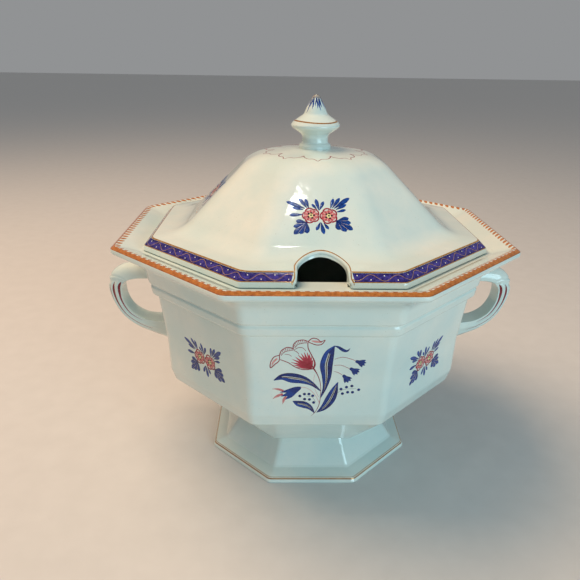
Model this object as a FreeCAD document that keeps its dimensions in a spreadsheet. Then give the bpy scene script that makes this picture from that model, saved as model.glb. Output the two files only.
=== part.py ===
import FreeCAD, Part
import os
import re
import Sketcher
from FreeCAD import Placement, Rotation, Vector

# Octagonal pottery soup tureen on a pedestal foot, with two strap handles and a domed lid that
# has a ladle notch. The origin is on the table under the middle of the foot, +Z is up, the
# handles lie along X and the notch faces -Y. Millimetres. A "half" is half the width across flats.

SIZES = {
    # foot
    "foot_height": 29.0,
    "foot_half": 72.4,
    "foot_edge_in": 1.9,
    "foot_edge_height": 3.6,
    "step_in": 8.3,
    "step_rise": 3.0,
    "waist_half": 49.0,
    "flare_hollow": 1.0,
    "foot_wall": 6.0,
    # bowl, from the foot up to the lip
    "body_half": 98.0,
    "keel_half": 63.5,
    "keel_rise": 2.2,
    "slope_height": 32.4,
    "hip_in": 3.5,
    "hip_rise": 8.4,
    "panel_height": 55.0,
    "panel_flare": 5.3,
    "panel_hollow": 1.0,
    "bead_out": 3.6,
    "bead_step": 5.1,
    "bead_height": 10.5,
    "cove_out": 9.1,
    "cove_depth": 3.2,
    "cove_height": 19.0,
    "lip_out": 11.2,
    "lip_rise": 4.4,
    "lip_edge": 3.4,
    "lip_round": 1.4,
    "bowl_wall": 5.5,
    # rim of the mouth
    "rim_land": 1.0,
    "rim_slope_width": 14.3,
    "rim_slope_drop": 5.4,
    "ledge_width": 15.0,
    "ledge_thick": 6.3,
    "undercut": 9.0,
    "undercut_fall": 4.0,
    # lid
    "lid_gap": 2.0,
    "edge_in": 0.9,
    "edge_height": 3.5,
    "band_in": 4.9,
    "band_rise": 4.8,
    "ogee_half": 72.0,
    "ogee_rise": 17.0,
    "ogee_hollow": 3.0,
    "brow_half": 53.0,
    "brow_rise": 19.1,
    "shoulder_half": 34.0,
    "shoulder_rise": 12.1,
    "shoulder_round": 2.3,
    "crown_half": 12.0,
    "crown_rise": 2.4,
    "lid_wall": 5.0,
    "lid_rim": 9.0,
    "lid_rim_thick": 4.0,
    "apron_width": 13.5,
    "apron_rise": 4.8,
    "notch_width": 27.2,
    "notch_length": 24.4,
    # locating flange under the lid
    "flange_gap": 1.5,
    "flange_wall": 5.5,
    "flange_depth": 8.0,
    "flange_opening": 42.0,
    # finial
    "ring_radius": 10.6,
    "ring_height": 2.9,
    "ring_in": 0.7,
    "neck_radius": 8.7,
    "neck_height": 6.7,
    "disc_radius": 16.3,
    "disc_rise": 5.2,
    "disc_edge": 3.0,
    "disc_round": 0.8,
    "cap_rise": 6.2,
    "cap_bulge": 0.9,
    "spire_radius": 7.3,
    "spire_height": 10.8,
    "spire_tip": 1.5,
    "spire_bulge": 0.9,
    # handles, measured out from the body and up from the table
    "handle_reach": 49.2,
    "strap_width": 15.0,
    "strap_shoulder": 0.42,
    "strap_thick": 8.6,
    "knuckle_thick": 10.2,
    "arm_low": 127.6,
    "arm_thick": 9.0,
    "root_low": 76.0,
    "root_thick": 18.3,
}

# Heights and half-widths that follow from the sizes above.
LEVELS = {
    "keel_level": "foot_height + keel_rise",
    "hip_level": "keel_level + slope_height",
    "panel_low": "hip_level + hip_rise",
    "panel_mid": "panel_low + panel_height / 2",
    "panel_top": "panel_low + panel_height",
    "bead_mid": "panel_top + bead_height / 2",
    "bead_top": "panel_top + bead_height",
    "cove_mid": "bead_top + cove_height / 2",
    "cove_top": "bead_top + cove_height",
    "lip_low": "cove_top + lip_rise",
    "lip_side": "lip_low + lip_edge",
    "rim_level": "lip_side + lip_round",
    "seat_level": "rim_level - rim_slope_drop",
    "panel_top_half": "body_half + panel_flare",
    "bead_top_half": "panel_top_half + bead_step",
    "cove_top_half": "bead_top_half + cove_out",
    "rim_half": "cove_top_half + lip_out",
    "rim_top_half": "rim_half - lip_round",
    "seat_half": "rim_top_half - rim_land - rim_slope_width",
    "mouth_half": "seat_half - ledge_width",
    "lid_half": "seat_half - lid_gap",
    "flange_half": "mouth_half - flange_gap",
    "band_low": "seat_level + edge_height",
    "band_top": "band_low + band_rise",
    "band_top_half": "lid_half - edge_in - band_in",
    "ogee_level": "band_top + ogee_rise",
    "brow_level": "ogee_level + brow_rise",
    "shoulder_level": "brow_level + shoulder_rise",
    "crown_level": "shoulder_level + crown_rise",
    "wall_diagonal": "bowl_wall * cos(45)",
    "lid_diagonal": "lid_wall * cos(45)",
}

REACH = 400.0
SIDES = 8
UPRIGHT = Placement(Vector(), Rotation(Vector(1, 0, 0), 90))
ACROSS = Rotation(Vector(0, 0, -1), Vector(1, 0, 0), Vector(0, -1, 0), "ZXY")


def bound(text):
    """An expression on the size sheet: derived names are spelled out, the rest are its cells."""
    def spell(match):
        word = match.group(0)
        if word in LEVELS:
            return "(%s)" % bound(LEVELS[word])
        return "Sizes." + word if word in SIZES else word
    return re.sub(r"[a-z]\w*", spell, text)


def make_sheet(doc):
    sheet = doc.addObject("Spreadsheet::Sheet", "Sizes")
    for row, (name, value) in enumerate(SIZES.items(), start=1):
        sheet.set("A%d" % row, name)
        sheet.set("B%d" % row, str(value))
        sheet.setAlias("B%d" % row, name)
    doc.recompute()
    return sheet


def pin_point(sketch, geometry, end, place):
    """Hold one point of a sketch at the place given by two expressions."""
    for kind, axis, text in (("DistanceX", -2, place[0]), ("DistanceY", -1, place[1])):
        value = sketch.evalExpression(bound(text))
        if abs(value) < 1e-9:
            sketch.addConstraint(Sketcher.Constraint("PointOnObject", geometry, end, axis))
        elif value < 0:
            index = sketch.addConstraint(Sketcher.Constraint(kind, geometry, end, -1, 1, -value))
            sketch.setExpression("Constraints[%d]" % index, "-(%s)" % bound(text))
        else:
            index = sketch.addConstraint(Sketcher.Constraint(kind, -1, 1, geometry, end, value))
            sketch.setExpression("Constraints[%d]" % index, bound(text))


def draw_outline(sketch, outline):
    """Closed outline. A step is (x, y), a straight line to there, or (x, y, x, y), an arc through
    the first place to the second. The first step is where the outline starts."""
    def where(place):
        return Vector(*(sketch.evalExpression(bound(text)) for text in place), 0)

    corners = [step[-2:] for step in outline]
    for number, step in enumerate(outline[1:] + outline[:1]):
        start, finish = where(corners[number]), where(step[-2:])
        turned = False
        if len(step) == 4:
            middle = where(step[:2])
            turned = (finish - start).cross(middle - start).z > 0
            ends = (finish, start) if turned else (start, finish)
            edge = sketch.addGeometry(Part.Arc(ends[0], middle, ends[1]))
            on_arc = sketch.addGeometry(Part.Point(middle), True)
            sketch.addConstraint(Sketcher.Constraint("PointOnObject", on_arc, 1, edge))
            pin_point(sketch, on_arc, 1, step[:2])
        else:
            edge = sketch.addGeometry(Part.LineSegment(start, finish))
        pin_point(sketch, edge, 2 if turned else 1, corners[number])
        pin_point(sketch, edge, 1 if turned else 2, step[-2:])


def eight_sided(doc, name, outline):
    """Solid with the same outline on each of its eight sides: one prism per side, and their
    common part. The outline runs from its first place at the bottom to its last at the top."""
    sketch = doc.addObject("Sketcher::SketchObject", name + "_outline")
    sketch.Placement = UPRIGHT
    back = "-%g" % REACH
    draw_outline(sketch, [(back, outline[0][-1])] + outline + [(back, outline[-1][-1])])
    prisms = []
    for side in range(SIDES):
        prism = doc.addObject("Part::Extrusion", "%s_side_%d" % (name, side + 1))
        prism.Base = sketch
        prism.DirMode = "Custom"
        prism.Dir = Vector(0, 1, 0)
        prism.LengthFwd = 2 * REACH
        prism.Symmetric = True
        prism.Solid = True
        prism.Placement = Placement(Vector(), Rotation(Vector(0, 0, 1), side * 360.0 / SIDES))
        prisms.append(prism)
    solid = doc.addObject("Part::MultiCommon", name)
    solid.Shapes = prisms
    return solid


def cut(doc, name, base, tool):
    piece = doc.addObject("Part::Cut", name)
    piece.Base = base
    piece.Tool = tool
    return piece


def body_sketch(body, name):
    """Sketch on the body's own upright XZ plane."""
    plane = next(feature for feature in body.Origin.OriginFeatures if feature.Role == "XZ_Plane")
    sketch = body.newObject("Sketcher::SketchObject", name)
    sketch.AttachmentSupport = (plane, "")
    sketch.MapMode = "FlatFace"
    body.Document.recompute()
    return sketch


def make_foot(doc):
    blank = eight_sided(doc, "foot_blank", [
        ("foot_half", "0"),
        ("foot_half - foot_edge_in", "foot_edge_height"),
        ("foot_half - foot_edge_in - step_in", "foot_edge_height + step_rise"),
        ("(foot_half - foot_edge_in - step_in + waist_half) / 2 - flare_hollow",
         "(foot_edge_height + step_rise + foot_height) / 2",
         "waist_half", "foot_height"),
    ])
    hollow = eight_sided(doc, "foot_hollow", [
        ("foot_half - foot_wall", "-1"),
        ("foot_half - foot_wall", "0"),
        ("foot_half - foot_edge_in - step_in - foot_wall", "foot_edge_height + step_rise"),
        ("waist_half - foot_wall", "foot_height"),
        ("waist_half - foot_wall", "foot_height + 1"),
    ])
    return cut(doc, "foot", blank, hollow)


def make_bowl_blank(doc):
    """The bowl as if solid. The handles end on its outside."""
    return eight_sided(doc, "bowl_blank", [
        ("waist_half", "foot_height"),
        ("keel_half", "keel_level"),
        ("body_half - hip_in", "hip_level"),
        ("body_half - hip_in * 0.3", "hip_level + hip_rise * 0.4", "body_half", "panel_low"),
        ("body_half + panel_flare / 2 - panel_hollow", "panel_mid", "panel_top_half", "panel_top"),
        ("panel_top_half + bead_out", "bead_mid", "bead_top_half", "bead_top"),
        ("bead_top_half + cove_out / 2 - cove_depth / 2", "cove_mid + cove_depth / 2",
         "cove_top_half", "cove_top"),
        ("rim_half - lip_round / 2", "lip_low"),
        ("rim_half", "lip_low + lip_edge / 4"),
        ("rim_half", "lip_side"),
        ("rim_half - lip_round * 0.36", "lip_side + lip_round * 0.64", "rim_top_half", "rim_level"),
    ])


def make_bowl(doc, blank):
    hollow = eight_sided(doc, "bowl_hollow", [
        ("keel_half - wall_diagonal", "keel_level + wall_diagonal"),
        ("body_half - hip_in - wall_diagonal", "hip_level + wall_diagonal"),
        ("body_half - bowl_wall", "panel_low + bowl_wall / 2"),
        ("body_half + panel_flare / 2 - panel_hollow - bowl_wall", "panel_mid",
         "panel_top_half - bowl_wall", "panel_top"),
        ("bead_top_half - bowl_wall", "bead_top + bowl_wall / 2"),
        ("mouth_half + undercut", "seat_level - ledge_thick - undercut_fall"),
        ("mouth_half", "seat_level - ledge_thick"),
        ("mouth_half", "seat_level"),
        ("seat_half", "seat_level"),
        ("rim_top_half - rim_land", "rim_level"),
        ("rim_top_half - rim_land", "rim_level + 1"),
    ])
    return cut(doc, "bowl", blank, hollow)


def make_notch(doc):
    """Round-ended slot, open to the front, for the handle of a ladle."""
    bar = doc.addObject("Part::Box", "notch_bar")
    bar.setExpression("Length", bound("notch_width"))
    bar.setExpression("Width", bound("notch_length"))
    bar.setExpression("Height", bound("crown_level"))
    bar.setExpression("Placement.Base.x", bound("-notch_width / 2"))
    bar.setExpression("Placement.Base.y", bound("notch_width / 2 - lid_half - notch_width"))
    end = doc.addObject("Part::Cylinder", "notch_end")
    end.setExpression("Radius", bound("notch_width / 2"))
    end.setExpression("Height", bound("crown_level"))
    end.setExpression("Placement.Base.y", bound("notch_length - notch_width / 2 - lid_half"))
    notch = doc.addObject("Part::Fuse", "notch")
    notch.Base = bar
    notch.Tool = end
    return notch


def make_lid_hollow(doc):
    """Room under the lid: the shell is as thick all over, but for the flat rim on the seat."""
    return eight_sided(doc, "lid_hollow", [
        ("lid_half - lid_rim", "seat_level - flange_depth - 1"),
        ("lid_half - lid_rim", "seat_level + lid_rim_thick"),
        ("lid_half - lid_rim - apron_width", "seat_level + lid_rim_thick + apron_rise"),
        ("ogee_half - lid_diagonal", "ogee_level - lid_diagonal"),
        ("brow_half - lid_diagonal", "brow_level - lid_diagonal"),
        ("shoulder_half - lid_diagonal / 2", "shoulder_level - lid_wall"),
        ("crown_half", "crown_level - lid_wall"),
    ])


def make_lid(doc, hollow, notch):
    dome = eight_sided(doc, "lid_blank", [
        ("lid_half", "seat_level"),
        ("lid_half - edge_in", "band_low"),
        ("band_top_half", "band_top"),
        ("(band_top_half + ogee_half) / 2 - ogee_hollow * 0.4",
         "(band_top + ogee_level) / 2 - ogee_hollow", "ogee_half", "ogee_level"),
        ("brow_half", "brow_level"),
        ("(brow_half + shoulder_half) / 2 + shoulder_round * 0.5",
         "(brow_level + shoulder_level) / 2 + shoulder_round", "shoulder_half", "shoulder_level"),
        ("crown_half", "crown_level"),
    ])
    shell = cut(doc, "lid_shell", dome, hollow)
    return cut(doc, "lid", shell, notch)


def make_flange(doc, hollow):
    """Ring under the lid that drops into the mouth and stops the lid from sliding off.

    It is left out behind the notch, so that the ladle's handle only passes the thin lid."""
    rings = []
    for name, half, spare in (("flange_blank", "flange_half", "0"),
                              ("flange_hollow", "flange_half - flange_wall", "1")):
        rings.append(eight_sided(doc, name, [
            (half, "seat_level - flange_depth - " + spare),
            (half, "ogee_level + " + spare),
        ]))
    ring = cut(doc, "flange_ring", *rings)
    opening = doc.addObject("Part::Box", "flange_opening")
    opening.setExpression("Length", bound("flange_opening"))
    opening.setExpression("Width", bound("lid_half"))
    opening.setExpression("Height", bound("crown_level"))
    opening.setExpression("Placement.Base.x", bound("-flange_opening / 2"))
    opening.setExpression("Placement.Base.y", bound("-lid_half"))
    flange = doc.addObject("Part::MultiCommon", "lid_flange")
    flange.Shapes = [cut(doc, "flange_gapped", ring, opening), hollow]
    return flange


def make_finial(doc):
    """Turned knob: base ring, waisted neck, wide disc and a pointed spire."""
    body = doc.addObject("PartDesign::Body", "finial")
    sketch = body_sketch(body, "finial_outline")
    disc_low = "ring_height + neck_height + disc_rise - disc_edge / 2"
    disc_top = disc_low + " + disc_edge"
    cap_top = disc_top + " + cap_rise"
    draw_outline(sketch, [
        ("0", "0"),
        ("ring_radius", "0"),
        ("ring_radius + 0.2", "ring_height / 2", "ring_radius - ring_in", "ring_height"),
        ("neck_radius", "ring_height + neck_height * 0.6",
         "neck_radius + ring_in", "ring_height + neck_height"),
        ("disc_radius - disc_round", disc_low),
        ("disc_radius", disc_low + " + disc_edge / 2", "disc_radius - disc_round", disc_top),
        ("(disc_radius + spire_radius) / 2 + cap_bulge / 2",
         disc_top + " + cap_rise / 2 + cap_bulge / 2", "spire_radius", cap_top),
        ("spire_radius / 2 + spire_tip / 2 + spire_bulge",
         cap_top + " + spire_height / 2", "spire_tip", cap_top + " + spire_height"),
        ("spire_tip / 2", cap_top + " + spire_height + spire_tip / 2"),
        ("0", cap_top + " + spire_height + spire_tip / 2"),
    ])
    turned = body.newObject("PartDesign::Revolution", "finial_turned")
    turned.Profile = sketch
    turned.ReferenceAxis = (sketch, ["V_Axis"])
    turned.Angle = 360
    body.setExpression("Placement.Base.z", bound("crown_level"))
    return body


# Stations along the inner face of a handle, from inside the bowl wall, out along the arm, over the
# knuckle and down the strap to its root: share of the reach, share of the gap height between root
# and arm, the angle of the outer side above +X, and the thickness there.
HANDLE_STATIONS = [
    (-0.16, 1.0, 90, "arm_thick"),
    (0.28, 1.0, 90, "arm_thick"),
    (0.57, 1.0, 84, "arm_thick"),
    (0.70, 0.95, 58, "knuckle_thick"),
    (0.78, 0.83, 25, "knuckle_thick"),
    (0.80, 0.67, 2, "knuckle_thick"),
    (0.76, 0.44, -20, "(knuckle_thick + strap_thick) / 2"),
    (0.66, 0.17, -47, "strap_thick"),
    (0.47, 0.01, -70, "(strap_thick * 2 + root_thick) / 3"),
    (0.24, 0.0, -82, "(strap_thick + root_thick * 3) / 4"),
    (-0.12, 0.0, -88, "root_thick"),
]


def handle_section(doc, number, reach_share, gap_share, tilt, thickness):
    """Cross-section of the strap: flat on the inner face and domed on the outer one."""
    section = doc.addObject("Sketcher::SketchObject", "handle_section_%d" % number)
    turn = Rotation(Vector(1, 0, 0), 90) * Rotation(Vector(0, 0, 1), tilt) * ACROSS
    section.Placement = Placement(Vector(), turn)
    section.setExpression("Placement.Base.x", bound("body_half + handle_reach * %g" % reach_share))
    section.setExpression("Placement.Base.z", bound(
        "root_low + root_thick + (arm_low - root_low - root_thick) * %g" % gap_share))
    shoulder = "(%s) - strap_width * strap_shoulder" % thickness
    draw_outline(section, [
        ("-strap_width / 2", "0"),
        ("strap_width / 2", "0"),
        ("strap_width / 2", shoulder),
        ("0", thickness, "-strap_width / 2", shoulder),
    ])
    return section


def make_handles(doc, blank):
    """Both handles are the same loft, one of them turned half round, cut off at the bowl."""
    sections = [handle_section(doc, number, *station)
                for number, station in enumerate(HANDLE_STATIONS, start=1)]
    handles = []
    for side, turn in (("right", 0), ("left", 180)):
        strap = doc.addObject("Part::Loft", side + "_strap")
        strap.Sections = sections
        strap.Solid = True
        strap.MaxDegree = 2
        strap.Placement = Placement(Vector(), Rotation(Vector(0, 0, 1), turn))
        handles.append(cut(doc, side + "_handle", strap, blank))
    return handles


def check(doc, pieces):
    for thing in doc.Objects:
        if "Invalid" in thing.State or "Error" in thing.State:
            raise RuntimeError("%s failed: %s" % (thing.Label, thing.State))
    for piece in pieces:
        if piece.Shape.isNull() or not piece.Shape.isValid() or len(piece.Shape.Solids) != 1:
            raise RuntimeError("%s is not one valid solid" % piece.Label)


def main():
    doc = FreeCAD.newDocument("tureen")
    make_sheet(doc)
    blank = make_bowl_blank(doc)
    hollow = make_lid_hollow(doc)
    pieces = [make_foot(doc), make_bowl(doc, blank), make_lid(doc, hollow, make_notch(doc)),
              make_flange(doc, hollow), make_finial(doc)]
    pieces += make_handles(doc, blank)
    doc.recompute()
    check(doc, pieces)
    os.makedirs("parts", exist_ok=True)
    for piece in pieces:
        piece.Shape.exportStep("parts/%s.step" % piece.Label)
        box = piece.Shape.BoundBox
        print("%-13s %7.1f cm3  x %.1f..%.1f  y %.1f..%.1f  z %.1f..%.1f" % (
            piece.Label, piece.Shape.Volume / 1000,
            box.XMin, box.XMax, box.YMin, box.YMax, box.ZMin, box.ZMax))


main()
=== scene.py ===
import math
import random

import bpy
from mathutils import Matrix, Vector
from mathutils.bvhtree import BVHTree


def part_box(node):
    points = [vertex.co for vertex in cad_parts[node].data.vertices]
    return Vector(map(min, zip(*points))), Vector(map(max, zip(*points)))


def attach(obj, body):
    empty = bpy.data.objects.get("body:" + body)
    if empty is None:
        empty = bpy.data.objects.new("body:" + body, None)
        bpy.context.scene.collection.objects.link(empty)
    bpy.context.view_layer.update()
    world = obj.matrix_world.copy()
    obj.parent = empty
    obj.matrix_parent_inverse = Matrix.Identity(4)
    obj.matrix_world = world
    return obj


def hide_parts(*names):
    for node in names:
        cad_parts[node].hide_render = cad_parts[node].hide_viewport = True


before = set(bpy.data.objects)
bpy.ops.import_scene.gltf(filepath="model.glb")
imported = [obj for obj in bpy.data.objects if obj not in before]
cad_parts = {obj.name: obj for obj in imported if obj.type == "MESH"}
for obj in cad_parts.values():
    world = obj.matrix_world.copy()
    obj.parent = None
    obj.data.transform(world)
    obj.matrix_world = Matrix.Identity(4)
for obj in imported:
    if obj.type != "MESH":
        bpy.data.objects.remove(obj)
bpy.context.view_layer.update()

mm = 0.001
sideCount = 8
sideTurn = math.radians(360 / sideCount)
halfTurn = sideTurn / 2


def sideFrame(side):
    # outward and along directions of a facet; side 0 faces the front, the next ones go anticlockwise
    angle = math.radians(-90) + side * sideTurn
    out = Vector((math.cos(angle), math.sin(angle), 0))
    return out, Vector((-out.y, out.x, 0))


def ringPoint(side, along, bend, half, corner):
    # point on a soft-cornered octagon: along is -1..1 on the flat, bend is 0..1 round the next corner
    out, run = sideFrame(side)
    corner = min(corner, half * 0.98)
    flat = (half - corner) * math.tan(halfTurn)
    if bend == 0:
        return out * half + run * (flat * along)
    centre = out * (half - corner) + run * flat
    angle = bend * sideTurn
    return centre + (out * math.cos(angle) + run * math.sin(angle)) * corner


def aroundPoint(half, corner, turn):
    # the same octagon by a number that runs from 0 to 8; whole numbers are the facet middles
    side = math.floor(turn + 0.5)
    flat = (half - corner) * math.tan(halfTurn)
    away = (turn - side) * (2 * flat + corner * sideTurn)
    out, run = sideFrame(side % sideCount)
    if abs(away) <= flat:
        return out * half + run * away, out
    angle = math.copysign((abs(away) - flat) / corner, away)
    centre = out * (half - corner) + run * math.copysign(flat, away)
    normal = out * math.cos(angle) + run * math.sin(angle)
    return centre + normal * corner, normal


def softProfile(points, steps=5):
    # points are (half, z, fillet, corner): a line with each corner rounded to its fillet
    rounded = []
    for number, (half, z, fillet, corner) in enumerate(points):
        here = Vector((half, z))
        if fillet == 0 or number in (0, len(points) - 1):
            rounded.append((half, z, corner))
            continue
        back = (Vector(points[number - 1][:2]) - here)
        ahead = (Vector(points[number + 1][:2]) - here)
        turn = math.pi - back.angle(ahead)
        reach = min(fillet * math.tan(turn / 2), back.length * 0.49, ahead.length * 0.49)
        radius = reach / math.tan(turn / 2)
        back.normalize()
        ahead.normalize()
        start = here + back * reach
        centre = here + (back + ahead).normalized() * (radius / math.cos(turn / 2))
        spin = back.x * ahead.y - back.y * ahead.x
        count = max(3, min(14, round(steps * turn + radius / mm / 6)))
        for step in range(count + 1):
            angle = math.copysign(turn * step / count, -spin)
            arm = start - centre
            rounded.append((centre.x + arm.x * math.cos(angle) - arm.y * math.sin(angle),
                            centre.y + arm.x * math.sin(angle) + arm.y * math.cos(angle), corner))
    return rounded


def scaled(points):
    # millimetres to metres for every number of every row
    return [tuple(value * mm for value in point) for point in points]


def newMesh(name, points, faces, materials):
    mesh = bpy.data.meshes.new(name)
    mesh.from_pydata([tuple(point) for point in points], [], faces)
    for material in materials:
        mesh.materials.append(material)
    mesh.polygons.foreach_set("use_smooth", [True] * len(mesh.polygons))
    piece = bpy.data.objects.new(name, mesh)
    bpy.context.scene.collection.objects.link(piece)
    return piece


def evenShading(piece):
    # broad flats keep their own normals and the narrow roundings between them carry the turn
    piece.data.set_sharp_from_angle(angle=math.radians(48))
    weighted = piece.modifiers.new("evenShading", "WEIGHTED_NORMAL")
    weighted.keep_sharp = True


def octagonShell(name, profile, material, closed=False):
    # the profile carried round the octagon; an end at half 0 becomes one point
    columns = []
    for side in range(sideCount):
        columns += [(side, along, 0) for along in (-1, -0.97, -0.5, 0, 0.5, 0.97)]
        columns += [(side, 1, bend / 7) for bend in range(7)]
    points, rings, faces = [], [], []
    for half, z, corner in profile:
        if half < 1e-6:
            points.append(Vector((0, 0, z)))
            rings.append([len(points) - 1] * len(columns))
            continue
        start = len(points)
        points += [ringPoint(*column, half, corner) + Vector((0, 0, z)) for column in columns]
        rings.append(list(range(start, len(points))))
    for low, high in list(zip(rings, rings[1:])) + ([(rings[-1], rings[0])] if closed else []):
        for here in range(len(columns)):
            after = (here + 1) % len(columns)
            face = list(dict.fromkeys((low[here], low[after], high[after], high[here])))
            if len(face) > 2:
                faces.append(face)
    piece = newMesh(name, points, faces, [material])
    evenShading(piece)
    return piece


def newMaterial(name):
    material = bpy.data.materials.new(name)
    material.use_nodes = True
    tree = material.node_tree
    return material, tree.nodes, tree.links, tree.nodes["Principled BSDF"]


def noiseNode(nodes, links, place, scale, detail=2, rough=0.5):
    node = nodes.new("ShaderNodeTexNoise")
    node.inputs["Scale"].default_value = scale
    node.inputs["Detail"].default_value = detail
    node.inputs["Roughness"].default_value = rough
    links.new(place, node.inputs["Vector"])
    return node.outputs["Fac"]


def spreadNode(nodes, links, value, low, high, outLow=0, outHigh=1):
    node = nodes.new("ShaderNodeMapRange")
    node.inputs["From Min"].default_value = low
    node.inputs["From Max"].default_value = high
    node.inputs["To Min"].default_value = outLow
    node.inputs["To Max"].default_value = outHigh
    links.new(value, node.inputs["Value"])
    return node.outputs["Result"]


def mixNode(nodes, links, factor, one, two):
    node = nodes.new("ShaderNodeMix")
    node.data_type = "RGBA"
    links.new(factor, node.inputs[0])
    for given, socket in ((one, node.inputs[6]), (two, node.inputs[7])):
        if isinstance(given, tuple):
            socket.default_value = given
        else:
            links.new(given, socket)
    return node.outputs[2]


def newGroup(name, given, result):
    group = bpy.data.node_groups.new(name, "ShaderNodeTree")
    for label, kind in given:
        group.interface.new_socket(label, in_out="INPUT", socket_type="NodeSocket" + kind)
    for label, kind in result:
        group.interface.new_socket(label, in_out="OUTPUT", socket_type="NodeSocket" + kind)
    return (group, group.nodes, group.links,
            group.nodes.new("NodeGroupInput"), group.nodes.new("NodeGroupOutput"))


def glazeGroup():
    # glaze that pools and thins, with a few kiln specks and a soft wave in its surface
    group, nodes, links, given, result = newGroup(
        "glazeSurface", (("Thin", "Color"), ("Thick", "Color"), ("Speck", "Color")),
        (("Color", "Color"), ("Roughness", "Float"), ("Height", "Float")))
    place = nodes.new("ShaderNodeTexCoord").outputs["Object"]
    pool = spreadNode(nodes, links, noiseNode(nodes, links, place, 24, 3), 0.32, 0.68)
    body = mixNode(nodes, links, pool, given.outputs["Thin"], given.outputs["Thick"])
    cloud = noiseNode(nodes, links, place, 130, 3, 0.6)
    pooled = spreadNode(nodes, links, cloud, 0.35, 0.75, 0, 0.35)
    body = mixNode(nodes, links, pooled, body, given.outputs["Thick"])
    specks = noiseNode(nodes, links, place, 1300, 1, 0.4)
    speckled = spreadNode(nodes, links, specks, 0.745, 0.79, 0, 0.35)
    links.new(mixNode(nodes, links, speckled, body, given.outputs["Speck"]), result.inputs["Color"])
    links.new(spreadNode(nodes, links, cloud, 0.3, 0.7, 0.035, 0.10), result.inputs["Roughness"])
    wave = nodes.new("ShaderNodeMath")
    wave.operation = "MULTIPLY_ADD"
    links.new(noiseNode(nodes, links, place, 38, 1, 0.4), wave.inputs[0])
    wave.inputs[1].default_value = 6
    links.new(noiseNode(nodes, links, place, 300, 2), wave.inputs[2])
    links.new(wave.outputs[0], result.inputs["Height"])
    return group


def paintGroup():
    # brushed enamel: the wash laid down by the stroke, broken up by the grain of the brush
    group, nodes, links, given, result = newGroup(
        "brushWash", (("Deep", "Color"), ("Pale", "Color"), ("Spread", "Float")),
        (("Color", "Color"), ("Roughness", "Float"), ("Height", "Float")))
    place = nodes.new("ShaderNodeTexCoord").outputs["Object"]
    wash = nodes.new("ShaderNodeAttribute")
    wash.attribute_name = "wash"
    grain = noiseNode(nodes, links, place, 520, 4, 0.65)
    worn = nodes.new("ShaderNodeMath")
    worn.operation = "MULTIPLY_ADD"
    links.new(spreadNode(nodes, links, grain, 0.3, 0.7, -1, 1), worn.inputs[0])
    links.new(given.outputs["Spread"], worn.inputs[1])
    links.new(wash.outputs["Fac"], worn.inputs[2])
    laid = spreadNode(nodes, links, worn.outputs[0], 0, 1)
    links.new(mixNode(nodes, links, laid, given.outputs["Deep"], given.outputs["Pale"]),
              result.inputs["Color"])
    links.new(spreadNode(nodes, links, grain, 0.3, 0.7, 0.08, 0.2), result.inputs["Roughness"])
    links.new(grain, result.inputs["Height"])
    return group


glazeLook = {
    "thin": (0.72, 0.76, 0.70, 1),
    "thick": (0.56, 0.69, 0.67, 1),
    "speck": (0.22, 0.17, 0.10, 1),
    "wave": 0.05,
}
paintLook = {
    # deep colour, pale colour, how broken the wash is, metal
    "cobaltPaint": ((0.001, 0.006, 0.08, 1), (0.008, 0.085, 0.42, 1), 0.25, 0),
    "cobaltBand": ((0.008, 0.005, 0.09, 1), (0.075, 0.055, 0.34, 1), 0.5, 0),
    "crimsonPaint": ((0.20, 0.003, 0.016, 1), (0.52, 0.05, 0.085, 1), 0.22, 0),
    "rosePaint": ((0.50, 0.09, 0.10, 1), (0.80, 0.48, 0.44, 1), 0.25, 0),
    "maroonPaint": ((0.12, 0.004, 0.014, 1), (0.34, 0.035, 0.055, 1), 0.2, 0),
    "umberPaint": ((0.08, 0.04, 0.035, 1), (0.22, 0.14, 0.11, 1), 0.25, 0),
    "whitePaint": ((0.74, 0.66, 0.58, 1), (0.88, 0.84, 0.78, 1), 0.2, 0),
    "yellowPaint": ((0.62, 0.50, 0.16, 1), (0.80, 0.76, 0.42, 1), 0.2, 0),
    "blackPaint": ((0.010, 0.008, 0.012, 1), (0.05, 0.03, 0.04, 1), 0.2, 0),
    "copperLustre": ((0.26, 0.06, 0.010, 1), (0.78, 0.30, 0.07, 1), 0.3, 0.3),
    "goldLine": ((0.32, 0.12, 0.025, 1), (0.80, 0.46, 0.15, 1), 0.3, 0.5),
}
glazeSurface = glazeGroup()
brushWash = paintGroup()


def makeGlaze(name, thin, thick):
    material, nodes, links, shader = newMaterial(name)
    surface = nodes.new("ShaderNodeGroup")
    surface.node_tree = glazeSurface
    surface.inputs["Thin"].default_value = thin
    surface.inputs["Thick"].default_value = thick
    surface.inputs["Speck"].default_value = glazeLook["speck"]
    bump = nodes.new("ShaderNodeBump")
    bump.inputs["Strength"].default_value = glazeLook["wave"]
    bump.inputs["Distance"].default_value = mm
    links.new(surface.outputs["Height"], bump.inputs["Height"])
    links.new(surface.outputs["Color"], shader.inputs["Base Color"])
    links.new(surface.outputs["Roughness"], shader.inputs["Roughness"])
    links.new(bump.outputs["Normal"], shader.inputs["Normal"])
    shader.inputs["IOR"].default_value = 1.55
    shader.inputs["Coat Weight"].default_value = 0.4
    shader.inputs["Coat Roughness"].default_value = 0.03
    return material


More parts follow.
